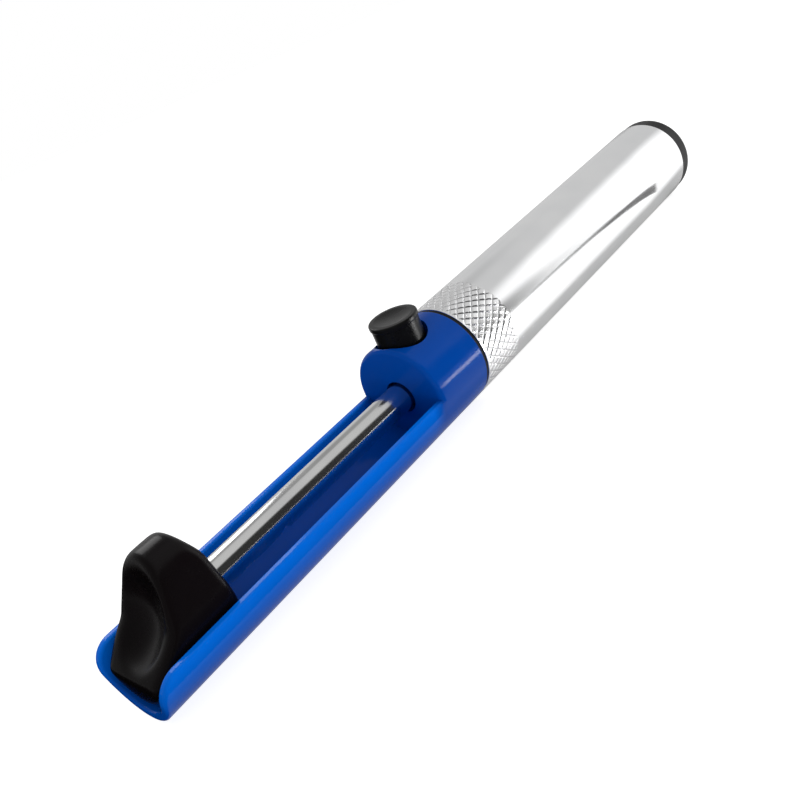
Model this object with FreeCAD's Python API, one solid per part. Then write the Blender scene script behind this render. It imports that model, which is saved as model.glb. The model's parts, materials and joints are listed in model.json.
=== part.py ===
import FreeCAD, Part
import math
import os

# Desoldering pump: a spring-loaded piston in an aluminium barrel, cocked by a thumb knob on a
# steel rod and let go by a button.
#
# Frame of the finished model: X across, +Y along the tool to the nozzle, +Z up through the
# button, origin at the middle of the underside. While the pieces are built the tool's axis is
# the Y axis, and y = 0 is the seam where the handle's collar meets the barrel.

Vector = FreeCAD.Vector
ACROSS = Vector(1, 0, 0)
ALONG = Vector(0, 1, 0)
UP = Vector(0, 0, 1)
CENTRE = Vector(0, 0, 0)

# ---------------------------------------------------------------- driving dimensions (mm)
BARREL_DIAMETER = 20.0
BARREL_WALL = 1.2
BARREL_LENGTH = 90.55
TROUGH_LENGTH = 66.5
TROUGH_WALL = 1.6
COLLAR_LENGTH = 13.7
NOZZLE_REACH = 11.5
ROD_DIAMETER = 5.46
STROKE = 40.5
BUTTON_DIAMETER = 9.4
BUTTON_CENTRE_Y = -8.05
BUTTON_TOP_Z = 13.56
BUTTON_TRAVEL = 2.0

# ---------------------------------------------------------------- fits and clearances
RUNNING = 0.05
FREE = 0.3
SEATED = 0.02
WIRE_SIDES = 12

# ---------------------------------------------------------------- worked-out sizes
BARREL_R = BARREL_DIAMETER / 2
BORE_R = BARREL_R - BARREL_WALL
ROD_R = ROD_DIAMETER / 2
BUTTON_R = BUTTON_DIAMETER / 2

GASKET_THICKNESS = 0.6
BARREL_REAR_Y = GASKET_THICKNESS
BARREL_FRONT_Y = BARREL_REAR_Y + BARREL_LENGTH
GRIP_BAND_END_Y = 13.3
GRIP_BAND_STEP = 0.2

COLLAR_R = BARREL_R
COLLAR_REAR_Y = -COLLAR_LENGTH
TROUGH_END_Y = COLLAR_REAR_Y - TROUGH_LENGTH
TROUGH_INNER_R = COLLAR_R - TROUGH_WALL
RIM_Z = -0.4
NECK_LENGTH = 9.0
NECK_R = BORE_R - RUNNING

CAP_FLANGE_LENGTH = 4.25
CAP_FRONT_Y = BARREL_FRONT_Y + CAP_FLANGE_LENGTH
CAP_R = BARREL_R - 0.2
CAP_SPIGOT_LENGTH = 7.5
CAP_SPIGOT_R = BORE_R - RUNNING
CAP_REAR_Y = BARREL_FRONT_Y - CAP_SPIGOT_LENGTH
NOZZLE_TIP_Y = CAP_FRONT_Y + NOZZLE_REACH

OVERALL_LENGTH = NOZZLE_TIP_Y - TROUGH_END_Y
TO_ORIGIN = Vector(0, OVERALL_LENGTH / 2 - NOZZLE_TIP_Y, BARREL_R)


# ---------------------------------------------------------------- building blocks
def rod_along(radius, y0, y1):
    """Solid round bar on the tool's axis."""
    return Part.makeCylinder(radius, y1 - y0, Vector(0, y0, 0), ALONG)


def ring_along(outer_r, inner_r, y0, y1):
    """Plain tube or washer on the tool's axis."""
    return rod_along(outer_r, y0, y1).cut(rod_along(inner_r, y0 - 1, y1 + 1))


def block(x0, x1, y0, y1, z0, z1):
    return Part.makeBox(x1 - x0, y1 - y0, z1 - z0, Vector(x0, y0, z0))


def turned(outline):
    """Solid of revolution about the tool's axis from (y, radius) points."""
    points = [Vector(radius, y, 0) for y, radius in outline]
    face = Part.Face(Part.makePolygon(points + points[:1]))
    return face.revolve(CENTRE, ALONG, 360)


def seal_ring(centre_r, section_r, y):
    """O-ring lying round the tool's axis."""
    return Part.makeTorus(centre_r, section_r, Vector(0, y, 0), ALONG)


def coil(mean_r, wire_r, length, turns):
    """Helical spring round the Z axis, standing on z = 0; the wire is a many-sided bar."""
    pitch = (length - 2 * wire_r) / turns
    path = Part.makeHelix(pitch, pitch * turns, mean_r)
    corners = []
    for index in range(WIRE_SIDES):
        angle = 2 * math.pi * index / WIRE_SIDES
        corners.append(Vector(mean_r + wire_r * math.cos(angle), 0, wire_r * math.sin(angle)))
    section = Part.makePolygon(corners + corners[:1])
    spring = Part.Wire(path).makePipeShell([section], True, True)
    spring.translate(Vector(0, 0, wire_r))
    return spring


def rounded(shape, radius, wanted):
    """Rounds the edges for which wanted(edge) is true."""
    return shape.makeFillet(radius, [edge for edge in shape.Edges if wanted(edge)])


def circle_at(edge, y, radius):
    """True for a full circle of this radius round the axis at this y."""
    curve = edge.Curve
    if not isinstance(curve, Part.Circle) or abs(curve.Radius - radius) > 0.01:
        return False
    return abs(curve.Center.y - y) < 0.01 and abs(curve.Axis.y) > 0.99


# ---------------------------------------------------------------- barrel and nose
def barrel():
    """Aluminium tube with a grip band at its rear end, its ends broken by small chamfers."""
    chamfer = 0.25
    band_r = BARREL_R - GRIP_BAND_STEP
    return turned([
        (BARREL_REAR_Y, BORE_R),
        (BARREL_REAR_Y, band_r - chamfer),
        (BARREL_REAR_Y + chamfer, band_r),
        (GRIP_BAND_END_Y, band_r),
        (GRIP_BAND_END_Y, BARREL_R),
        (BARREL_FRONT_Y - chamfer, BARREL_R),
        (BARREL_FRONT_Y, BARREL_R - chamfer),
        (BARREL_FRONT_Y, BORE_R),
    ])


NOZZLE_FLANGE_R = 5.6
CAP_BOSS_R = 5.6
CAP_BOSS_TAPER = 0.6
CAP_EDGE_R = 1.3
NOZZLE_FLANGE_LENGTH = 3.0
NOZZLE_STEM_R = 4.0
NOZZLE_TIP_R = 1.9
NOZZLE_TIP_LENGTH = 3.0
NOZZLE_BORE_R = 1.25
CAP_BOSS_LENGTH = 2.0
NOZZLE_RING_R = 0.6
CAP_RING_R = 0.8
CAP_RING_Y = CAP_REAR_Y + CAP_SPIGOT_LENGTH / 2
CAP_RING_WIDTH = 2.0
NOZZLE_FLANGE_FRONT_Y = CAP_REAR_Y + NOZZLE_FLANGE_LENGTH
CAP_RECESS_FLOOR_Y = NOZZLE_FLANGE_FRONT_Y + 2 * NOZZLE_RING_R


def nose_cap():
    """Black cap: a spigot with a seal groove, a flange over the barrel's end and a nozzle boss."""
    outside = turned([
        (CAP_REAR_Y, 0),
        (CAP_REAR_Y, CAP_SPIGOT_R),
        (BARREL_FRONT_Y, CAP_SPIGOT_R),
        (BARREL_FRONT_Y, CAP_R),
        (CAP_FRONT_Y, CAP_R),
        (CAP_FRONT_Y, CAP_BOSS_R),
        (CAP_FRONT_Y + CAP_BOSS_LENGTH, CAP_BOSS_R - CAP_BOSS_TAPER),
        (CAP_FRONT_Y + CAP_BOSS_LENGTH, 0),
    ])
    outside = rounded(outside, CAP_EDGE_R, lambda edge: circle_at(edge, CAP_FRONT_Y, CAP_R))
    groove_y = CAP_RING_Y - CAP_RING_WIDTH / 2
    groove_r = BORE_R - 2 * CAP_RING_R - RUNNING
    groove = ring_along(BARREL_R, groove_r, groove_y, groove_y + CAP_RING_WIDTH)
    recess = rod_along(NOZZLE_FLANGE_R + FREE, CAP_REAR_Y - 1, CAP_RECESS_FLOOR_Y)
    bore = rod_along(NOZZLE_STEM_R + SEATED, CAP_REAR_Y, CAP_FRONT_Y + CAP_BOSS_LENGTH + 1)
    return outside.cut(groove).cut(recess).cut(bore)


def nose_cap_o_ring():
    return seal_ring(BORE_R - SEATED - CAP_RING_R, CAP_RING_R, CAP_RING_Y)


def nozzle():
    """White nozzle: inner flange, stem through the cap, taper and a short parallel tip."""
    taper_start_y = CAP_FRONT_Y + CAP_BOSS_LENGTH
    tip_y = NOZZLE_TIP_Y - NOZZLE_TIP_LENGTH
    edge = 0.3
    funnel_r = 3.0
    funnel_length = 6.0
    return turned([
        (CAP_REAR_Y, funnel_r),
        (CAP_REAR_Y, NOZZLE_FLANGE_R),
        (NOZZLE_FLANGE_FRONT_Y, NOZZLE_FLANGE_R),
        (NOZZLE_FLANGE_FRONT_Y, NOZZLE_STEM_R),
        (taper_start_y, NOZZLE_STEM_R),
        (tip_y, NOZZLE_TIP_R),
        (NOZZLE_TIP_Y - edge, NOZZLE_TIP_R),
        (NOZZLE_TIP_Y, NOZZLE_TIP_R - edge),
        (NOZZLE_TIP_Y, NOZZLE_BORE_R),
        (CAP_REAR_Y + funnel_length, NOZZLE_BORE_R),
    ])


def nozzle_o_ring():
    ring_y = NOZZLE_FLANGE_FRONT_Y + NOZZLE_RING_R
    return seal_ring((NOZZLE_STEM_R + NOZZLE_FLANGE_R) / 2, NOZZLE_RING_R - SEATED / 2, ring_y)


SEAT_THICKNESS = 0.8
SEAT_HOLE_R = 3.0
SEAT_REAR_Y = CAP_REAR_Y - SEAT_THICKNESS


def front_spring_seat():
    """Steel washer across the cap's rear face, behind the nozzle's flange."""
    return ring_along(BORE_R - 0.2, SEAT_HOLE_R, SEAT_REAR_Y, CAP_REAR_Y)


# ---------------------------------------------------------------- plunger
BUMPER_THICKNESS = 2.0
BUMPER_R = 8.0
BUMPER_FRONT_Y = NECK_LENGTH + BUMPER_THICKNESS
PISTON_REAR_Y = BUMPER_FRONT_Y + 0.4
PISTON_LENGTH = 10.0
PISTON_FRONT_Y = PISTON_REAR_Y + PISTON_LENGTH
PISTON_R = BORE_R - FREE
PISTON_RING_R = 0.85
PISTON_RING_Y = PISTON_REAR_Y + 0.6 * PISTON_LENGTH
PISTON_RING_WIDTH = 2.0
ROD_SHOULDER_Y = PISTON_REAR_Y + 2.0
ROD_THREAD_R = 1.95
ROD_FRONT_Y = PISTON_FRONT_Y + 5.4
PISTON_WASHER_THICKNESS = 0.8
PISTON_WASHER_R = 5.0
NUT_THICKNESS = 3.2
NUT_ACROSS_FLATS = 7.0

KNOB_FRONT_Y = -62.6
KNOB_R = 7.8
KNOB_CROWN_R = 5.8
KNOB_TOP_Z = 11.6
KNOB_KNEE_Z = 7.0
KNOB_LEAN = 2.0
KNOB_CREST_Y = -68.9
KNOB_CREASE_Y = -73.8
KNOB_CREASE_Z = 1.8
KNOB_FOOT_Y = -79.7
KNOB_FOOT_Z = -3.0
KNOB_FRONT_EDGE_R = 1.4
KNOB_REAR_EDGE_R = 0.9
DISH_R = 10.0
DISH_Y = -80.3
DISH_Z = 7.5
ROD_REAR_Y = -71.0
KNOB_PIN_R = 1.0
KNOB_PIN_Y = -66.8

NOTCH_Y = -46.6
NOTCH_LENGTH = 4.9
NOTCH_FLAT = 1.0
NOTCH_FLOOR_Z = -0.6

PIN_R = 0.8
PIN_SOCKET_LENGTH = 5.0
PIN_TIP_Y = NOZZLE_TIP_Y - STROKE - 0.6


def rod_notch():
    """Wedge taken from the rod's underside: a square shoulder, then a ramp back to full size."""
    low = -ROD_R - 1
    ramp_end_z = -ROD_R
    outline = [
        Vector(-ROD_R - 1, NOTCH_Y, NOTCH_FLOOR_Z),
        Vector(-ROD_R - 1, NOTCH_Y - NOTCH_FLAT, NOTCH_FLOOR_Z),
        Vector(-ROD_R - 1, NOTCH_Y - NOTCH_LENGTH, ramp_end_z),
        Vector(-ROD_R - 1, NOTCH_Y - NOTCH_LENGTH, low),
        Vector(-ROD_R - 1, NOTCH_Y, low),
    ]
    face = Part.Face(Part.makePolygon(outline + outline[:1]))
    return face.extrude(ACROSS * (2 * ROD_R + 2))


def plunger_rod():
    """Steel rod: chamfered rear end, latch notch, and a thinner threaded end for the piston."""
    chamfer = 0.5
    bar = turned([
        (ROD_REAR_Y, 0),
        (ROD_REAR_Y, ROD_R - chamfer),
        (ROD_REAR_Y + chamfer, ROD_R),
        (ROD_SHOULDER_Y, ROD_R),
        (ROD_SHOULDER_Y, ROD_THREAD_R),
        (ROD_FRONT_Y - chamfer, ROD_THREAD_R),
        (ROD_FRONT_Y, ROD_THREAD_R - chamfer),
        (ROD_FRONT_Y, 0),
    ])
    pin_socket = rod_along(PIN_R + SEATED, ROD_FRONT_Y - PIN_SOCKET_LENGTH, ROD_FRONT_Y + 1)
    pin_hole = Part.makeCylinder(KNOB_PIN_R + SEATED, 2 * KNOB_R, Vector(0, KNOB_PIN_Y, -KNOB_R), UP)
    return bar.cut(rod_notch()).cut(pin_socket).cut(pin_hole)


def cleaning_pin():
    """Thin pin ahead of the piston, with a blunt point."""
    point = 0.8
    return turned([
        (ROD_FRONT_Y - PIN_SOCKET_LENGTH + SEATED, 0),
        (ROD_FRONT_Y - PIN_SOCKET_LENGTH + SEATED, PIN_R),
        (PIN_TIP_Y - point, PIN_R),
        (PIN_TIP_Y, PIN_R / 2),
        (PIN_TIP_Y, 0),
    ])


def piston():
    """Piston with a seal groove, a counterbore for the rod's shoulder and a rounded skirt."""
    edge = 0.6
    body = turned([
        (PISTON_REAR_Y, 0),
        (PISTON_REAR_Y, PISTON_R - edge),
        (PISTON_REAR_Y + edge, PISTON_R),
        (PISTON_FRONT_Y - edge, PISTON_R),
        (PISTON_FRONT_Y, PISTON_R - edge),
        (PISTON_FRONT_Y, 0),
    ])
    groove_y = PISTON_RING_Y - PISTON_RING_WIDTH / 2
    groove_r = BORE_R - RUNNING - 2 * PISTON_RING_R - RUNNING
    groove = ring_along(BARREL_R, groove_r, groove_y, groove_y + PISTON_RING_WIDTH)
    counterbore = rod_along(ROD_R + SEATED, PISTON_REAR_Y - 1, ROD_SHOULDER_Y)
    bore = rod_along(ROD_THREAD_R + SEATED, PISTON_REAR_Y, PISTON_FRONT_Y + 1)
    return body.cut(groove).cut(counterbore).cut(bore)


def piston_o_ring():
    return seal_ring(BORE_R - RUNNING - PISTON_RING_R, PISTON_RING_R, PISTON_RING_Y)


def piston_washer():
    front_y = PISTON_FRONT_Y + PISTON_WASHER_THICKNESS
    return ring_along(PISTON_WASHER_R, ROD_THREAD_R + 0.15, PISTON_FRONT_Y, front_y)


def piston_nut():
    """Hexagon nut on the rod's threaded end."""
    rear_y = PISTON_FRONT_Y + PISTON_WASHER_THICKNESS
    corner_r = NUT_ACROSS_FLATS / 2 / math.cos(math.pi / 6)
    corners = []
    for index in range(6):
        angle = index * math.pi / 3
        corners.append(Vector(corner_r * math.cos(angle), rear_y, corner_r * math.sin(angle)))
    prism = Part.Face(Part.makePolygon(corners + corners[:1])).extrude(ALONG * NUT_THICKNESS)
    chamfered = turned([
        (rear_y, 0),
        (rear_y, NUT_ACROSS_FLATS / 2),
        (rear_y + 0.4, corner_r),
        (rear_y + NUT_THICKNESS - 0.4, corner_r),
        (rear_y + NUT_THICKNESS, NUT_ACROSS_FLATS / 2),
        (rear_y + NUT_THICKNESS, 0),
    ])
    return prism.common(chamfered).cut(rod_along(ROD_THREAD_R + SEATED, 0, ROD_FRONT_Y + 1))


def knob_section():
    """End-on outline of the knob: a round lower half that fills the trough and a smaller crown."""
    crown_z = KNOB_TOP_Z - KNOB_CROWN_R
    lean = math.asin((KNOB_R - KNOB_CROWN_R) / crown_z)
    y = KNOB_FOOT_Y - 1
    low = Vector(KNOB_R * math.cos(lean), y, KNOB_R * math.sin(lean))
    high = Vector(KNOB_CROWN_R * math.cos(lean), y, crown_z + KNOB_CROWN_R * math.sin(lean))
    low_left = Vector(-low.x, y, low.z)
    high_left = Vector(-high.x, y, high.z)
    edges = [
        Part.Arc(low, Vector(0, y, -KNOB_R), low_left).toShape(),
        Part.makeLine(low_left, high_left),
        Part.Arc(high_left, Vector(0, y, KNOB_TOP_Z), high).toShape(),
        Part.makeLine(high, low),
    ]
    return Part.Face(Part.Wire(edges)).extrude(ALONG * (KNOB_FRONT_Y - KNOB_FOOT_Y + 2))


def knob_profile():
    """Side outline of the knob: front that leans back, flat crest, steep rear slope, long foot."""
    x = -KNOB_R - 1
    below_z = -KNOB_R - 1
    above_z = KNOB_TOP_Z + 1
    front_low = Vector(x, KNOB_FRONT_Y, below_z)
    knee = Vector(x, KNOB_FRONT_Y, KNOB_KNEE_Z)
    front_high = Vector(x, KNOB_FRONT_Y - KNOB_LEAN, above_z)
    crest = Vector(x, KNOB_CREST_Y, above_z)
    crease = Vector(x, KNOB_CREASE_Y, KNOB_CREASE_Z)
    foot = Vector(x, KNOB_FOOT_Y, KNOB_FOOT_Z)
    foot_low = Vector(x, KNOB_FOOT_Y, below_z)
    edges = [
        Part.makeLine(front_low, knee),
        Part.makeLine(knee, front_high),
        Part.makeLine(front_high, crest),
        Part.makeLine(crest, crease),
        Part.makeLine(crease, foot),
        Part.makeLine(foot, foot_low),
        Part.makeLine(foot_low, front_low),
    ]
    return Part.Face(Part.Wire(edges)).extrude(ACROSS * (2 * KNOB_R + 2))


def is_knob_front_edge(edge):
    """True for the edges round the front face and the leaning face above it."""
    across_knee = edge.BoundBox.XLength > 1 and edge.BoundBox.ZLength < 0.01
    return edge.BoundBox.YMin > KNOB_FRONT_Y - KNOB_LEAN - 0.01 and not across_knee


def is_knob_rear_edge(edge):
    """True for the edges between the rear slope and the crown, sides and foot."""
    if edge.CenterOfMass.y > KNOB_CREST_Y + 0.5:
        return False
    spans_slope = edge.BoundBox.YLength > 1 and edge.BoundBox.ZLength > 1
    foot_edge = edge.BoundBox.YLength < 0.01 and edge.CenterOfMass.z > -KNOB_R + 1
    return spans_slope or foot_edge


def thumb_knob():
    """Black thumb knob: outline and profile combined, edges rounded, thumb dish and rod socket."""
    body = knob_section().common(knob_profile())
    body = rounded(body, KNOB_FRONT_EDGE_R, is_knob_front_edge)
    body = rounded(body, KNOB_REAR_EDGE_R, is_knob_rear_edge)
    dish = Part.makeSphere(DISH_R, Vector(0, DISH_Y, DISH_Z))
    socket = rod_along(ROD_R + SEATED, ROD_REAR_Y - 0.1, KNOB_FRONT_Y + 1)
    pin_hole = Part.makeCylinder(KNOB_PIN_R + SEATED, KNOB_R + 1, Vector(0, KNOB_PIN_Y, -KNOB_R - 1), UP)
    return body.cut(dish).cut(socket).cut(pin_hole)


def knob_pin():
    """Split roll pin through the rod, driven into the knob from below."""
    recess = 0.8
    half_split = 0.15
    low_z = -KNOB_R + recess
    height = ROD_R - low_z - FREE
    pin = Part.makeCylinder(KNOB_PIN_R, height, Vector(0, KNOB_PIN_Y, low_z), UP)
    hollow = Part.makeCylinder(KNOB_PIN_R / 2, height + 2, Vector(0, KNOB_PIN_Y, low_z - 1), UP)
    split = block(
        0, KNOB_PIN_R + 1,
        KNOB_PIN_Y - half_split, KNOB_PIN_Y + half_split,
        low_z - 1, ROD_R + 1,
    )
    return pin.cut(hollow).cut(split)


# ---------------------------------------------------------------- handle and its guides
BUSH_R = 5.0
BUSH_REAR_Y = 1.0
ROD_HOLE_R = ROD_R + 0.5
WELL_R = BUTTON_R + 0.5
WELL_FLOOR_Z = 4.0
PLATE_WIDTH = 8.4
PLATE_THICKNESS = 2.0
PLATE_CORNER_R = 0.8
PLATE_BOTTOM_Z = -4.7
PLATE_TOP_Z = 6.4
PLATE_HOLE_R = ROD_R + FREE + 0.02
PLATE_HOLE_TOP_Z = ROD_R + BUTTON_TRAVEL + 0.4
SLOT_FLOOR_Z = PLATE_BOTTOM_Z - BUTTON_TRAVEL - 0.4
POCKET_R = 2.2
POCKET_FLOOR_Z = -8.6
END_CORNER_R = 4.0
EDGE_R = 0.5
COLLAR_REAR_EDGE_R = 0.9
COLLAR_SEAM_EDGE_R = 0.3


def trough():
    """Half-pipe with rounded corners at its open end and softened rims."""
    overlap = 1.0
    front_y = COLLAR_REAR_Y + overlap
    half_pipe = ring_along(COLLAR_R, TROUGH_INNER_R, TROUGH_END_Y, front_y)
    above = block(-COLLAR_R - 1, COLLAR_R + 1, TROUGH_END_Y - 1, front_y + 1, RIM_Z, COLLAR_R + 1)
    half_pipe = half_pipe.cut(above)
    corner_y = TROUGH_END_Y + END_CORNER_R
    corner_z = RIM_Z - END_CORNER_R
    corner = block(-COLLAR_R - 1, COLLAR_R + 1, TROUGH_END_Y - 1, corner_y, corner_z, RIM_Z + 1)
    round_bar = Part.makeCylinder(
        END_CORNER_R, 2 * COLLAR_R + 2, Vector(-COLLAR_R - 1, corner_y, corner_z), ACROSS
    )
    half_pipe = half_pipe.cut(corner.cut(round_bar))
    return rounded(half_pipe, EDGE_R, lambda edge: on_trough_rim(edge, front_y))


def on_trough_rim(edge, front_y):
    """True for the edges round the rims, corners and open end, not those buried in the collar."""
    if edge.BoundBox.YMin > front_y - 0.01:
        return False
    if edge.BoundBox.XLength < 0.01 and edge.BoundBox.YLength < 0.01:
        return False
    at_end = edge.BoundBox.YMax < TROUGH_END_Y + 0.01
    above_corner = edge.BoundBox.ZMin > RIM_Z - END_CORNER_R - 0.01
    lies_across = edge.BoundBox.XLength > 1 and edge.BoundBox.ZLength < 0.01
    return (at_end or above_corner) and not lies_across


def collar():
    """Full round collar with softened edges, and the neck that the barrel screws on."""
    body = rod_along(COLLAR_R, COLLAR_REAR_Y, 0)
    body = rounded(body, COLLAR_REAR_EDGE_R, lambda edge: circle_at(edge, COLLAR_REAR_Y, COLLAR_R))
    body = rounded(body, COLLAR_SEAM_EDGE_R, lambda edge: circle_at(edge, 0, COLLAR_R))
    edge = 0.5
    neck = turned([
        (-1, 0),
        (-1, NECK_R),
        (NECK_LENGTH - edge, NECK_R),
        (NECK_LENGTH, NECK_R - edge),
        (NECK_LENGTH, 0),
    ])
    return body.fuse(neck)


def handle():
    """Blue moulding: trough, collar and neck in one, with the button's and the latch's cavities."""
    body = collar().fuse(trough()).removeSplitter()
    rod_hole = rod_along(ROD_HOLE_R, COLLAR_REAR_Y - 1, NECK_LENGTH + 1)
    bush_pocket = rod_along(BUSH_R, BUSH_REAR_Y, NECK_LENGTH + 1)
    well_place = Vector(0, BUTTON_CENTRE_Y, WELL_FLOOR_Z)
    well = Part.makeCylinder(WELL_R, COLLAR_R, well_place, UP)
    half_width = PLATE_WIDTH / 2 + FREE
    half_thickness = PLATE_THICKNESS / 2 + FREE
    slot = block(
        -half_width, half_width,
        BUTTON_CENTRE_Y - half_thickness, BUTTON_CENTRE_Y + half_thickness,
        SLOT_FLOOR_Z, WELL_FLOOR_Z + 1,
    )
    pocket_place = Vector(0, BUTTON_CENTRE_Y, POCKET_FLOOR_Z)
    pocket = Part.makeCylinder(POCKET_R, PLATE_BOTTOM_Z - POCKET_FLOOR_Z, pocket_place, UP)
    return body.cut(rod_hole).cut(bush_pocket).cut(well).cut(slot).cut(pocket)


def barrel_gasket():
    """Thin black ring in the seam between collar and barrel."""
    return ring_along(BARREL_R - 0.2, NECK_R + SEATED, 0, GASKET_THICKNESS)


def rod_bush():
    """Guide bush in the neck, a running fit on the rod."""
    return ring_along(BUSH_R - SEATED, ROD_R + RUNNING, BUSH_REAR_Y, NECK_LENGTH)


def bumper_washer():
    """Rubber washer on the neck's front face, where the piston stops."""
    return ring_along(BUMPER_R, ROD_HOLE_R, NECK_LENGTH, BUMPER_FRONT_Y)


# ---------------------------------------------------------------- release
TONGUE_WIDTH = 4.0
TONGUE_TOP_Z = 10.4


def latch_plate():
    """Steel plate with a long hole for the rod and a tongue that carries the button."""
    half_width = PLATE_WIDTH / 2
    y0 = BUTTON_CENTRE_Y - PLATE_THICKNESS / 2
    y1 = BUTTON_CENTRE_Y + PLATE_THICKNESS / 2
    plate = block(-half_width, half_width, y0, y1, PLATE_BOTTOM_Z, PLATE_TOP_Z)
    corners = [edge for edge in plate.Edges if edge.BoundBox.YLength > 1]
    plate = plate.makeFillet(PLATE_CORNER_R, corners)
    tongue = block(-TONGUE_WIDTH / 2, TONGUE_WIDTH / 2, y0, y1, PLATE_TOP_Z - 1, TONGUE_TOP_Z)
    lower = Part.makeCylinder(PLATE_HOLE_R, PLATE_THICKNESS + 2, Vector(0, y0 - 1, 0), ALONG)
    middle = block(-PLATE_HOLE_R, PLATE_HOLE_R, y0 - 1, y1 + 1, 0, PLATE_HOLE_TOP_Z)
    return plate.fuse(tongue).removeSplitter().cut(lower).cut(middle)


def release_button():
    """Black button: plain body, slightly wider head with a shallow dish, slot for the tongue."""
    head_height = 1.1
    body_r = BUTTON_R - 0.2
    head_z = BUTTON_TOP_Z - head_height
    foot = Vector(0, BUTTON_CENTRE_Y, PLATE_TOP_Z)
    body = Part.makeCylinder(body_r, head_z - PLATE_TOP_Z, foot, UP)
    head = Part.makeCylinder(BUTTON_R, head_height, Vector(0, BUTTON_CENTRE_Y, head_z), UP)
    head = head.makeFillet(0.3, [edge for edge in head.Edges if isinstance(edge.Curve, Part.Circle)])
    dish_depth = 0.35
    dish_mouth_r = 3.7
    dish_r = (dish_mouth_r ** 2 + dish_depth ** 2) / (2 * dish_depth)
    dish_centre = Vector(0, BUTTON_CENTRE_Y, BUTTON_TOP_Z - dish_depth + dish_r)
    dish = Part.makeSphere(dish_r, dish_centre)
    half_slot = TONGUE_WIDTH / 2 + SEATED
    half_thickness = PLATE_THICKNESS / 2 + SEATED
    slot = block(
        -half_slot, half_slot,
        BUTTON_CENTRE_Y - half_thickness, BUTTON_CENTRE_Y + half_thickness,
        PLATE_TOP_Z - 1, TONGUE_TOP_Z + SEATED,
    )
    return body.fuse(head).removeSplitter().cut(dish).cut(slot)


# ---------------------------------------------------------------- springs
def main_spring():
    """Compression spring from the front seat back to the piston."""
    wire_r = 0.5
    rear_y = PISTON_FRONT_Y + FREE
    mean_r = 6.6
    turns = 14
    spring = coil(mean_r, wire_r, SEAT_REAR_Y - SEATED - rear_y, turns)
    spring.rotate(CENTRE, ACROSS, -90)
    spring.translate(Vector(0, rear_y, 0))
    return spring


def button_spring():
    """Small spring between the pocket's floor and the latch plate."""
    wire_r = 0.2
    mean_r = 1.6
    turns = 3
    length = PLATE_BOTTOM_Z - FREE - POCKET_FLOOR_Z - SEATED
    spring = coil(mean_r, wire_r, length, turns)
    spring.translate(Vector(0, BUTTON_CENTRE_Y, POCKET_FLOOR_Z + SEATED))
    return spring


# ---------------------------------------------------------------- export
PIECES = {
    "barrel": barrel,
    "nose_cap": nose_cap,
    "nose_cap_o_ring": nose_cap_o_ring,
    "nozzle": nozzle,
    "nozzle_o_ring": nozzle_o_ring,
    "front_spring_seat": front_spring_seat,
    "main_spring": main_spring,
    "plunger_rod": plunger_rod,
    "cleaning_pin": cleaning_pin,
    "piston": piston,
    "piston_o_ring": piston_o_ring,
    "piston_washer": piston_washer,
    "piston_nut": piston_nut,
    "thumb_knob": thumb_knob,
    "knob_pin": knob_pin,
    "handle": handle,
    "barrel_gasket": barrel_gasket,
    "rod_bush": rod_bush,
    "bumper_washer": bumper_washer,
    "latch_plate": latch_plate,
    "release_button": release_button,
    "button_spring": button_spring,
}


def export(name, shape):
    """Moves a piece into the finished model's frame, checks it and writes its STEP file."""
    placed = shape.copy()
    placed.translate(TO_ORIGIN)
    solids = len(placed.Solids)
    print(name, "solids", solids, "valid", placed.isValid(), "volume", round(placed.Volume, 1))
    placed.exportStep("parts/" + name + ".step")


os.makedirs("parts", exist_ok=True)
for piece_name, build in PIECES.items():
    export(piece_name, build())
print("overall length", round(OVERALL_LENGTH, 2), "shift", TO_ORIGIN)
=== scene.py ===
import json
import math

import bmesh
import bpy
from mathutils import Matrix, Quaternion, Vector


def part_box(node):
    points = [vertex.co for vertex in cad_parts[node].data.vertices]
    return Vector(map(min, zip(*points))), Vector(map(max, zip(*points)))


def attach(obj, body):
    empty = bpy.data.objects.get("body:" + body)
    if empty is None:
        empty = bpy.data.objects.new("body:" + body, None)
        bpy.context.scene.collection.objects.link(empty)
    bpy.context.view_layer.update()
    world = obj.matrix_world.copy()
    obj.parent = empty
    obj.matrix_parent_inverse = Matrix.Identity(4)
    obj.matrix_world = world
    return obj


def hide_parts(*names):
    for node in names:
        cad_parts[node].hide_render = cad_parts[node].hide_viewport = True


# Desoldering pump: the looks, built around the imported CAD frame. Metres, +Y along the tool to
# the nozzle, +Z up through the button.

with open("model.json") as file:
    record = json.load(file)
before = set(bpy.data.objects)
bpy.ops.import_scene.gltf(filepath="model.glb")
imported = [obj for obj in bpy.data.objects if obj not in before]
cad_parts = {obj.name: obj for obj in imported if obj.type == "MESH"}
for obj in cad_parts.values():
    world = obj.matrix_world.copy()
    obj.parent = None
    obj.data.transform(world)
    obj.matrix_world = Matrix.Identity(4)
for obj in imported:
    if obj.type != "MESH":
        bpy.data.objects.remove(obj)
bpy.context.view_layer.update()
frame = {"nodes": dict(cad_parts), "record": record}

MM = 0.001
VIEW_AXIS = Vector((0, 0, 1))

# ---------------------------------------------------------------- places read from the frame
barrel_low, barrel_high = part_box("barrel")
BARREL_R = (barrel_high.x - barrel_low.x) / 2
AXIS_Z = (barrel_low.z + barrel_high.z) / 2
BARREL_REAR_Y = barrel_low.y
BARREL_FRONT_Y = barrel_high.y
BARREL_WALL = 1.2 * MM
BORE_R = BARREL_R - BARREL_WALL
COLLAR_LENGTH = 14.3 * MM
COLLAR_REAR_Y = BARREL_REAR_Y - COLLAR_LENGTH

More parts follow.
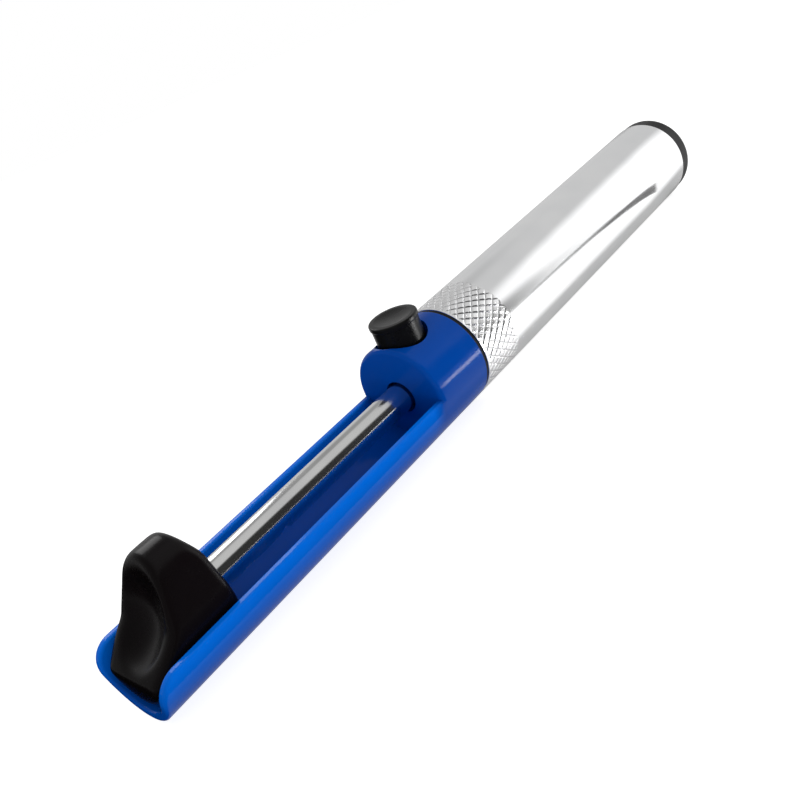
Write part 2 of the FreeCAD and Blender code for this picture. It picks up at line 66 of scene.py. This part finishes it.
# ---------------------------------------------------------------- knurled band
KNURL_STARTS = 36
KNURL_PITCH = 2.4 * MM
KNURL_LENGTH = 10.6 * MM
KNURL_STEPS = 14
KNURL_DEPTH = 0.13 * MM
KNURL_RIDGE = 0.02 * MM
KNURL_START_Y = BARREL_REAR_Y + 0.05 * MM
KNURL_RUN_OUT = 0.1 * MM
GROOVE_SHARE = 0.14
BARREL_EDGE_R = 0.25 * MM

# ---------------------------------------------------------------- grain of the surfaces
CLOUDS = 90.0
STREAKS = 900.0
COLOUR_DRIFT = 60.0
GLOSS_PATCHES = 260.0
WAVES = 120.0
WAVE_DEPTH = 0.02 * MM
BLUE_GRAIN = 5000.0
KNURL_GRAIN = 4000.0
ALONG_GRAIN = (1.0, 0.02, 1.0)
ROUND_GRAIN = (0.08, 1.0, 0.08)
NO_GRAIN = (1, 1, 1)

# ---------------------------------------------------------------- blue moulding, with a painted glow near the trough rims
# The lighter blue is painted light: a glow on the trough's upper walls standing in for light
# shining through them.
DEEP_BLUE = (0.0, 0.066, 0.40)
PAINTED_GLOW_BLUE = (0.0, 0.18, 0.88)
BLUE_BLEND_LENGTH = 3 * MM
BLUE_BLEND_HEIGHT = 6 * MM


# ---------------------------------------------------------------- materials
def new_material(name):
    """A node material and its Principled shader."""
    material = bpy.data.materials.new(name)
    material.use_nodes = True
    return material, material.node_tree.nodes["Principled BSDF"]


def node(material, kind, **settings):
    """Adds a node and sets its own properties and its unlinked inputs."""
    made = material.node_tree.nodes.new(kind)
    for key, value in settings.items():
        if key in made.inputs:
            made.inputs[key].default_value = value
        else:
            setattr(made, key, value)
    return made


def link(material, source, target):
    material.node_tree.links.new(source, target)


def place(material, stretch):
    """Object coordinates, squeezed or stretched along each axis."""
    coordinates = node(material, "ShaderNodeTexCoord")
    mapping = node(material, "ShaderNodeMapping", Scale=stretch)
    link(material, coordinates.outputs["Object"], mapping.inputs["Vector"])
    return mapping.outputs["Vector"]


def noise(material, scale, detail=3.0, stretch=(1, 1, 1)):
    """Fractal noise with about `scale` cells to a metre."""
    made = node(material, "ShaderNodeTexNoise", Scale=scale, Detail=detail)
    link(material, place(material, stretch), made.inputs["Vector"])
    return made.outputs["Fac"]


def ranged(material, value, low, high, start=0.3, end=0.7):
    """Maps the start..end part of a value to low..high."""
    made = node(material, "ShaderNodeMapRange")
    link(material, value, made.inputs["Value"])
    made.inputs["From Min"].default_value = start
    made.inputs["From Max"].default_value = end
    made.inputs["To Min"].default_value = low
    made.inputs["To Max"].default_value = high
    return made.outputs["Result"]


def two_colours(material, value, first, second, start=0.3, end=0.7):
    """Colour that goes from first to second as the value goes from start to end."""
    ramp = node(material, "ShaderNodeValToRGB")
    ramp.color_ramp.elements[0].position = start
    ramp.color_ramp.elements[0].color = (*first, 1)
    ramp.color_ramp.elements[1].position = end
    ramp.color_ramp.elements[1].color = (*second, 1)
    link(material, value, ramp.inputs["Fac"])
    return ramp.outputs["Color"]


def bumped(material, shader, heights):
    """Stacks bumps, each given as (height output, depth in metres), on the shader's normal."""
    below = None
    for height, depth in heights:
        made = node(material, "ShaderNodeBump", Strength=1.0, Distance=depth)
        link(material, height, made.inputs["Height"])
        if below is not None:
            link(material, below, made.inputs["Normal"])
        below = made.outputs["Normal"]
    link(material, below, shader.inputs["Normal"])


def metal(name, light, dark, rough, grain, depth):
    """Metal with a directional grain: light and dark colours, roughness range, grain stretch."""
    material, shader = new_material(name)
    shader.inputs["Metallic"].default_value = 1.0
    cloud = noise(material, CLOUDS, 2.0)
    link(material, two_colours(material, cloud, dark, light), shader.inputs["Base Color"])
    streaks = noise(material, STREAKS, 4.0, grain)
    link(material, ranged(material, streaks, rough[0], rough[1]), shader.inputs["Roughness"])
    bumped(material, shader, [(streaks, depth)])
    return material


def moulded(material, shader, rough, grain_scale, grain_depth, gloss):
    """Gloss, roughness patches and relief of a moulded surface."""
    shader.inputs["IOR"].default_value = 1.5
    shader.inputs["Specular IOR Level"].default_value = gloss
    patches = noise(material, GLOSS_PATCHES, 4.0)
    link(material, ranged(material, patches, rough[0], rough[1]), shader.inputs["Roughness"])
    grain = noise(material, grain_scale, 3.0)
    waves = noise(material, WAVES, 1.0)
    bumped(material, shader, [(waves, WAVE_DEPTH), (grain, grain_depth)])


def plastic(name, base, shade, rough, grain_scale, grain_depth, gloss=0.25):
    """Moulded plastic: faint colour drift, uneven gloss, fine moulded grain and soft waviness."""
    material, shader = new_material(name)
    drift = noise(material, COLOUR_DRIFT, 3.0)
    link(material, two_colours(material, drift, shade, base), shader.inputs["Base Color"])
    moulded(material, shader, rough, grain_scale, grain_depth, gloss)
    return material


def blue_plastic():
    """Blue ABS: deep blue, with a painted glow towards the rims of the trough that stands in for
    light coming through its walls.
    """
    material, shader = new_material("gloss_blue_plastic")
    coordinates = node(material, "ShaderNodeTexCoord")
    apart = node(material, "ShaderNodeSeparateXYZ")
    link(material, coordinates.outputs["Object"], apart.inputs["Vector"])
    blend_y = COLLAR_REAR_Y - BLUE_BLEND_LENGTH
    blend_z = AXIS_Z - BLUE_BLEND_HEIGHT
    in_trough = ranged(material, apart.outputs["Y"], 1.0, 0.0, blend_y, COLLAR_REAR_Y)
    glow_by_height = ranged(material, apart.outputs["Z"], 0.1, 1.0, blend_z, AXIS_Z)
    # Painted glow: lighter blue towards the top of the trough, fading out into the collar.
    painted_glow = node(material, "ShaderNodeMath", operation="MULTIPLY")
    link(material, in_trough, painted_glow.inputs[0])
    link(material, glow_by_height, painted_glow.inputs[1])
    colour = two_colours(material, painted_glow.outputs["Value"], DEEP_BLUE, PAINTED_GLOW_BLUE, 0.0, 1.0)
    drift = ranged(material, noise(material, COLOUR_DRIFT, 3.0), 0.93, 1.0)
    tint = node(material, "ShaderNodeVectorMath", operation="SCALE")
    link(material, colour, tint.inputs["Vector"])
    link(material, drift, tint.inputs["Scale"])
    link(material, tint.outputs["Vector"], shader.inputs["Base Color"])
    moulded(material, shader, (0.10, 0.16), BLUE_GRAIN, 0.0004 * MM, 0.11)
    return material


def knurl_metal():
    """Aluminium of the knurled band: bright flats, and darker grooves by distance from the axis."""
    material, shader = new_material("aluminium_knurl")
    shader.inputs["Metallic"].default_value = 1.0
    coordinates = node(material, "ShaderNodeTexCoord")
    flat = node(material, "ShaderNodeMapping", Location=(0, 0, -AXIS_Z), Scale=(1, 0, 1))
    link(material, coordinates.outputs["Object"], flat.inputs["Vector"])
    radius = node(material, "ShaderNodeVectorMath", operation="LENGTH")
    link(material, flat.outputs["Vector"], radius.inputs[0])
    floor_r = BARREL_R - KNURL_DEPTH
    height = ranged(
        material, radius.outputs["Value"], 0.0, 1.0, floor_r, BARREL_R - KNURL_RIDGE
    )
    colour = two_colours(material, height, (0.58, 0.58, 0.59), (0.93, 0.93, 0.935), 0.0, 0.7)
    link(material, colour, shader.inputs["Base Color"])
    link(material, ranged(material, height, 0.34, 0.26, 0.0, 1.0), shader.inputs["Roughness"])
    bumped(material, shader, [(noise(material, KNURL_GRAIN, 2.0), 0.003 * MM)])
    return material


MATERIALS = {
    "aluminium_barrel": metal(
        "polished_aluminium", (0.92, 0.922, 0.925), (0.86, 0.865, 0.875),
        (0.10, 0.17), ALONG_GRAIN, 0.0006 * MM,
    ),
    "blue_plastic": blue_plastic(),
    "black_cap_plastic": plastic(
        "black_nylon", (0.011, 0.011, 0.012), (0.008, 0.008, 0.009),
        (0.34, 0.48), 4000.0, 0.004 * MM, 0.2,
    ),
    "black_button_plastic": plastic(
        "satin_black_plastic", (0.006, 0.006, 0.006), (0.004, 0.004, 0.004),
        (0.24, 0.32), 4500.0, 0.002 * MM, 0.18,
    ),
    "black_knob_plastic": plastic(
        "black_brown_plastic", (0.006, 0.004, 0.005), (0.004, 0.003, 0.003),
        (0.22, 0.30), 4500.0, 0.0008 * MM, 0.13,
    ),
    "bright_steel": metal(
        "ground_steel", (0.80, 0.80, 0.79), (0.74, 0.74, 0.74),
        (0.12, 0.18), ALONG_GRAIN, 0.0001 * MM,
    ),
    "plated_steel": metal(
        "zinc_plate", (0.74, 0.74, 0.70), (0.64, 0.64, 0.62),
        (0.25, 0.4), NO_GRAIN, 0.002 * MM,
    ),
    "spring_steel": metal(
        "drawn_wire", (0.62, 0.61, 0.59), (0.5, 0.5, 0.49),
        (0.22, 0.36), ROUND_GRAIN, 0.001 * MM,
    ),
    "white_ptfe": plastic(
        "waxy_ptfe", (0.88, 0.87, 0.83), (0.84, 0.83, 0.79),
        (0.4, 0.5), 3000.0, 0.002 * MM,
    ),
    "black_rubber": plastic(
        "nitrile_rubber", (0.018, 0.018, 0.018), (0.012, 0.012, 0.012),
        (0.6, 0.75), 3500.0, 0.006 * MM,
    ),
    "acetal": plastic(
        "natural_acetal", (0.84, 0.84, 0.80), (0.8, 0.8, 0.76),
        (0.3, 0.42), 3500.0, 0.002 * MM,
    ),
}


# ---------------------------------------------------------------- building blocks
def add_piece(name, bm, materials, body, nodes, sharp_degrees=40):
    """Turns a bmesh into a smooth-shaded piece that rides a body and stands for CAD nodes."""
    bmesh.ops.recalc_face_normals(bm, faces=bm.faces)
    mesh = bpy.data.meshes.new(name)
    bm.to_mesh(mesh)
    bm.free()
    mesh.shade_smooth()
    mesh.set_sharp_from_angle(angle=math.radians(sharp_degrees))
    piece = bpy.data.objects.new(name, mesh)
    bpy.context.scene.collection.objects.link(piece)
    for material in materials:
        mesh.materials.append(material)
    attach(piece, body)
    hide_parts(*nodes)
    return piece


# ---------------------------------------------------------------- barrel with its knurled band
def groove_depth(turn):
    """Depth of a V groove at this distance, in groove spacings, along the knurl's pattern."""
    off_centre = abs(turn - round(turn))
    return KNURL_DEPTH * max(0.0, 1 - off_centre / GROOVE_SHARE)


def knurl_turns(column, row):
    """Where a grid point lies across each of the two families of grooves."""
    around = column / KNURL_STEPS
    along = row / KNURL_STEPS
    return around + along, around - along


def knurl_radius(column, row, rows):
    """Radius at a grid point of the band; the grooves fade out at both ends."""
    first, second = knurl_turns(column, row)
    fade_rows = KNURL_STEPS / 3
    fade = min(1.0, row / fade_rows, (rows - row) / fade_rows)
    return BARREL_R - max(groove_depth(first), groove_depth(second)) * fade


def barrel_outline(knurl_rows):
    """(y, radius) of each ring of the tube, from the rear bore edge; None is a knurl row."""
    rings = [
        (BARREL_REAR_Y, BORE_R),
        (BARREL_REAR_Y, BARREL_R - KNURL_DEPTH),
    ]
    for row in range(knurl_rows + 1):
        rings.append((KNURL_START_Y + row * KNURL_PITCH / KNURL_STEPS, None))
    smooth_start = rings[-1][0] + KNURL_RUN_OUT
    smooth_length = BARREL_FRONT_Y - BARREL_EDGE_R - smooth_start
    for share in (0.0, 0.25, 0.5, 0.75, 1.0):
        rings.append((smooth_start + share * smooth_length, BARREL_R))
    for step in range(1, 5):
        angle = step * math.pi / 8
        rings.append((
            BARREL_FRONT_Y - BARREL_EDGE_R + BARREL_EDGE_R * math.sin(angle),
            BARREL_R - BARREL_EDGE_R + BARREL_EDGE_R * math.cos(angle),
        ))
    rings.append((BARREL_FRONT_Y, BORE_R))
    return rings


def barrel_verts(bm, rings, columns, knurl_first, knurl_rows):
    """One closed ring of vertices for each ring of the outline."""
    verts = []
    for number, (y, radius) in enumerate(rings):
        ring = []
        for column in range(columns):
            angle = 2 * math.pi * column / columns
            r = radius
            if r is None:
                r = knurl_radius(column, number - knurl_first, knurl_rows)
            ring.append(bm.verts.new((r * math.cos(angle), y, AXIS_Z + r * math.sin(angle))))
        verts.append(ring)
    return verts


def knurl_triangles(corners, column, row):
    """Splits a cell of the band along the groove that runs deeper through it."""
    a, b, c, d = corners
    first, second = knurl_turns(column + 0.5, row + 0.5)
    if groove_depth(first) >= groove_depth(second):
        return (a, b, d), (b, c, d)
    return (a, b, c), (a, c, d)


def barrel():
    """Tube with a real diamond knurl: a grid whose triangles follow the grooves."""
    bm = bmesh.new()
    columns = KNURL_STARTS * KNURL_STEPS
    knurl_rows = round(KNURL_LENGTH / KNURL_PITCH * KNURL_STEPS)
    knurl_first = 2
    rings = barrel_outline(knurl_rows)
    verts = barrel_verts(bm, rings, columns, knurl_first, knurl_rows)
    for number in range(len(rings)):
        near, far = verts[number], verts[(number + 1) % len(rings)]
        row = number - knurl_first
        for column in range(columns):
            after = (column + 1) % columns
            corners = (near[column], near[after], far[after], far[column])
            if not 0 <= row < knurl_rows:
                bm.faces.new(corners)
                continue
            for triangle in knurl_triangles(corners, column, row):
                bm.faces.new(triangle).material_index = 1
    return add_piece(
        "barrel_tube", bm, [MATERIALS["aluminium_barrel"], knurl_metal()],
        "housing", ["barrel"], 60,
    )


barrel()


# ---------------------------------------------------------------- thumb knob
KNOB_WELD = 0.002 * MM
KNOB_GRID = 0.2 * MM
KNOB_SMOOTHING = 90


def thumb_knob():
    """Knob with every edge and the rim of the thumb dish softened, as a mould leaves them."""
    bm = bmesh.new()
    bm.from_mesh(frame["nodes"]["thumb_knob"].data)
    bmesh.ops.remove_doubles(bm, verts=bm.verts, dist=KNOB_WELD)
    rough_mesh = bpy.data.meshes.new("knob_rough")
    bm.to_mesh(rough_mesh)
    bm.free()
    rough = bpy.data.objects.new("knob_rough", rough_mesh)
    bpy.context.scene.collection.objects.link(rough)
    remesh = rough.modifiers.new("even_grid", "REMESH")
    remesh.mode = "VOXEL"
    remesh.voxel_size = KNOB_GRID
    smooth = rough.modifiers.new("soft_edges", "SMOOTH")
    smooth.factor = 0.5
    smooth.iterations = KNOB_SMOOTHING
    bpy.context.view_layer.update()
    even = rough.evaluated_get(bpy.context.evaluated_depsgraph_get())
    bm = bmesh.new()
    bm.from_mesh(even.to_mesh())
    even.to_mesh_clear()
    bpy.data.objects.remove(rough)
    bpy.data.meshes.remove(rough_mesh)
    return add_piece(
        "thumb_knob_body", bm, [MATERIALS["black_knob_plastic"]],
        "plunger", ["thumb_knob"], 80,
    )


thumb_knob()


# ---------------------------------------------------------------- carried-over CAD nodes
CAD_SHARP_DEGREES = 30


def finish_cad_nodes():
    """Gives each CAD node that still shows the material of its slot, with smooth curved faces."""
    for entry in frame["record"]["subparts"]:
        cad_object = frame["nodes"][entry["node"]]
        if cad_object.hide_render:
            continue
        cad_object.data.materials.clear()
        cad_object.data.materials.append(MATERIALS[entry["material_slot"]])
        cad_object.data.shade_smooth()
        cad_object.data.set_sharp_from_angle(angle=math.radians(CAD_SHARP_DEGREES))


finish_cad_nodes()


# ---------------------------------------------------------------- studio
EXTRA_SOFT_LIGHT = 0.4
FLOOR_R = 1.5
FLOOR_SIDES = 96
FLOOR_Z = -0.02 * MM
CARD_Z = 0.01 * MM
CARD_STEP = 0.002 * MM
# DARK_NAVY tints the dark_side card: a painted navy reflection in the rod and the blue sides.
DARK_NAVY = (0.0, 0.007, 0.065)
WHITE = (1, 1, 1)


def direction(azimuth, elevation):
    """Unit vector: azimuth from +Y towards +X, elevation above the floor, in degrees."""
    a, e = math.radians(azimuth), math.radians(elevation)
    return Vector((math.sin(a) * math.cos(e), math.cos(a) * math.cos(e), math.sin(e)))


def lobe(world, towards, inner_degrees, outer_degrees, low, high):
    """Soft round patch of the sky: high inside, low outside."""
    tree = world.node_tree
    coordinates = tree.nodes.new("ShaderNodeTexCoord")
    dot = tree.nodes.new("ShaderNodeVectorMath")
    dot.operation = "DOT_PRODUCT"
    dot.inputs[1].default_value = towards
    tree.links.new(coordinates.outputs["Generated"], dot.inputs[0])
    patch = tree.nodes.new("ShaderNodeMapRange")
    patch.interpolation_type = "SMOOTHSTEP"
    patch.inputs["From Min"].default_value = math.cos(math.radians(outer_degrees))
    patch.inputs["From Max"].default_value = math.cos(math.radians(inner_degrees))
    patch.inputs["To Min"].default_value = low
    patch.inputs["To Max"].default_value = high
    tree.links.new(dot.outputs["Value"], patch.inputs["Value"])
    return patch.outputs["Result"]


def multiplied(tree, first, second):
    """Product of two values in a node tree."""
    product = tree.nodes.new("ShaderNodeMath")
    product.operation = "MULTIPLY"
    tree.links.new(first, product.inputs[0])
    tree.links.new(second, product.inputs[1])
    return product.outputs["Value"]


def studio_world():
    """Grey studio sky, bright ahead, darker to the right, behind and high on the left."""
    world = bpy.data.worlds.new("studio")
    bpy.context.scene.world = world
    world.use_nodes = True
    tree = world.node_tree
    bright_ahead = lobe(world, direction(26, 14), 6, 29, 0.62, 1.4)
    dark_right = lobe(world, direction(82, 13), 34, 43, 1.0, 0.05)
    dark_behind = lobe(world, direction(180, 15), 50, 85, 1.0, 0.3)
    dim_high_left = lobe(world, direction(-60, 52), 12, 32, 1.0, 0.55)
    strength = bright_ahead
    for patch in (dark_right, dark_behind, dim_high_left):
        strength = multiplied(tree, strength, patch)
    light_path = tree.nodes.new("ShaderNodeLightPath")
    soft_light = tree.nodes.new("ShaderNodeMath")
    soft_light.operation = "MULTIPLY_ADD"
    tree.links.new(light_path.outputs["Is Diffuse Ray"], soft_light.inputs[0])
    soft_light.inputs[1].default_value = EXTRA_SOFT_LIGHT
    tree.links.new(strength, soft_light.inputs[2])
    sky = tree.nodes["Background"]
    tree.links.new(soft_light.outputs["Value"], sky.inputs["Strength"])
    sky.inputs["Color"].default_value = (1, 1, 1, 1)
    backdrop = tree.nodes.new("ShaderNodeBackground")
    backdrop.inputs["Color"].default_value = (1, 1, 1, 1)
    choose = tree.nodes.new("ShaderNodeMixShader")
    tree.links.new(light_path.outputs["Is Camera Ray"], choose.inputs["Fac"])
    tree.links.new(sky.outputs["Background"], choose.inputs[1])
    tree.links.new(backdrop.outputs["Background"], choose.inputs[2])
    tree.links.new(choose.outputs["Shader"], tree.nodes["World Output"].inputs["Surface"])


def soft_box(name, azimuth, elevation, distance, width, height, power):
    """Rectangular area light aimed at the tool's middle."""
    data = bpy.data.lights.new(name, "AREA")
    data.shape = "RECTANGLE"
    data.size = width
    data.size_y = height
    data.energy = power
    light = bpy.data.objects.new(name, data)
    towards = direction(azimuth, elevation)
    light.location = Vector((0, 0, AXIS_Z)) + towards * distance
    light.rotation_euler = towards.to_track_quat("Z", "Y").to_euler()
    bpy.context.scene.collection.objects.link(light)
    return light


def flat_card(name, corners, material):
    """Flat polygon that belongs to the studio."""
    mesh = bpy.data.meshes.new(name)
    mesh.from_pydata(corners, [], [list(range(len(corners)))])
    mesh.materials.append(material)
    card = bpy.data.objects.new(name, mesh)
    bpy.context.scene.collection.objects.link(card)
    return card


def floor_light(material):
    """Floor brightness: white to the eye, and shaded under the tool for soft and mirrored light."""
    coordinates = node(material, "ShaderNodeTexCoord")
    distance = node(material, "ShaderNodeVectorMath", operation="LENGTH")
    link(material, coordinates.outputs["Object"], distance.inputs[0])
    apart = node(material, "ShaderNodeSeparateXYZ")
    link(material, coordinates.outputs["Object"], apart.inputs["Vector"])
    sideways = node(material, "ShaderNodeMath", operation="ABSOLUTE")
    link(material, apart.outputs["X"], sideways.inputs[0])
    mirrored = ranged(material, apart.outputs["X"], 0.28, 0.95, 11 * MM, 15 * MM)
    diffused = ranged(material, sideways.outputs["Value"], 0.45, 1.2, 15 * MM, 60 * MM)
    seen = ranged(material, distance.outputs["Value"], 0.88, 1.0, 60 * MM, 300 * MM)
    light_path = node(material, "ShaderNodeLightPath")
    lit = node(material, "ShaderNodeMix")
    link(material, diffused, lit.inputs["A"])
    link(material, light_path.outputs["Is Glossy Ray"], lit.inputs["Factor"])
    link(material, mirrored, lit.inputs["B"])
    choose = node(material, "ShaderNodeMix")
    link(material, light_path.outputs["Is Camera Ray"], choose.inputs["Factor"])
    link(material, lit.outputs["Result"], choose.inputs["A"])
    link(material, seen, choose.inputs["B"])
    return choose.outputs["Result"]


def floor():
    """Large pale disc just under the tool, evenly lit to white as seen by the camera."""
    material, shader = new_material("pale_floor")
    shader.inputs["Base Color"].default_value = (0.4, 0.4, 0.4, 1)
    shader.inputs["Roughness"].default_value = 0.8
    shader.inputs["Specular IOR Level"].default_value = 0.1
    shader.inputs["Emission Color"].default_value = (1, 1, 1, 1)
    link(material, floor_light(material), shader.inputs["Emission Strength"])
    corners = []
    for index in range(FLOOR_SIDES):
        angle = 2 * math.pi * index / FLOOR_SIDES
        corners.append((FLOOR_R * math.cos(angle), FLOOR_R * math.sin(angle), FLOOR_Z))
    flat_card("floor", corners, material)


def gloss_card(name, corners_mm, height, strength, tint=WHITE):
    """Patch on the floor that only mirror-like reflections see: strength 0 is black."""
    material, shader = new_material(name)
    shader.inputs["Base Color"].default_value = (0, 0, 0, 1)
    shader.inputs["Specular IOR Level"].default_value = 0.0
    shader.inputs["Emission Color"].default_value = (*tint, 1)
    shader.inputs["Emission Strength"].default_value = strength
    material.cycles.emission_sampling = "NONE"
    corners = [(x * MM, y * MM, height) for x, y in corners_mm]
    card = flat_card(name, corners, material)
    card.visible_camera = False
    card.visible_diffuse = False
    card.visible_shadow = False
    card.visible_transmission = False


def gloss_cards():
    """Cards round the tool, as (x, y) corners in millimetres, that the glossy surfaces mirror:
    painted reflections, unseen by the camera, casting no shadow.
    """
    right_side = [(13, -98), (13, -22), (44, 2), (75, 25), (400, 190), (400, -98)]
    gloss_card("dark_side", right_side, CARD_Z, 1.0, DARK_NAVY)
    behind = [(-200, -93.6), (400, -93.6), (400, -300), (-200, -300)]
    gloss_card("dark_rear", behind, CARD_Z + CARD_STEP, 0.0)
    # dark_wedge paints the dark reflected line along the barrel.
    wedge_near = [(15, 77), (26, 76), (41, 80), (105, 121), (450, 395)]
    wedge_far = [(450, 490), (105, 152), (51, 104), (26, 93)]
    gloss_card("dark_wedge", wedge_near + wedge_far, CARD_Z, 0.19)
    left_side = [(-13, -94), (-200, -94), (-200, -30), (-13, -24)]
    gloss_card("dark_left", left_side, CARD_Z, 0.0)
    # bright_strip paints the highlight streak along the collar.
    strip = [(50, 6), (80, 30), (66, 44), (37, 20)]
    gloss_card("bright_strip", strip, 2 * CARD_Z, 18.0)


def camera():
    """Camera at the viewing angle of the reference view."""
    place_m = Vector((0.1083, -0.1173, 0.0770))
    aim_m = Vector((0.00338, -0.02892, 0.0100))
    roll_degrees = 23.91
    data = bpy.data.cameras.new("camera")
    data.lens = 38.52
    data.sensor_width = 36.0
    data.shift_x = -0.0107
    data.shift_y = 0.0045
    data.clip_start = 0.005
    data.clip_end = 20.0
    made = bpy.data.objects.new("camera", data)
    bpy.context.scene.collection.objects.link(made)
    made.location = place_m
    level = (aim_m - place_m).to_track_quat("-Z", "Y")
    made.rotation_mode = "QUATERNION"
    made.rotation_quaternion = level @ Quaternion(VIEW_AXIS, -math.radians(roll_degrees))
    bpy.context.scene.camera = made


studio_world()
floor()
gloss_cards()
left_window = soft_box("left_window", -84, 40, 0.6, 0.3, 0.3, 0.9)
left_window.visible_diffuse = False
camera()
bpy.context.scene.view_settings.view_transform = "Standard"
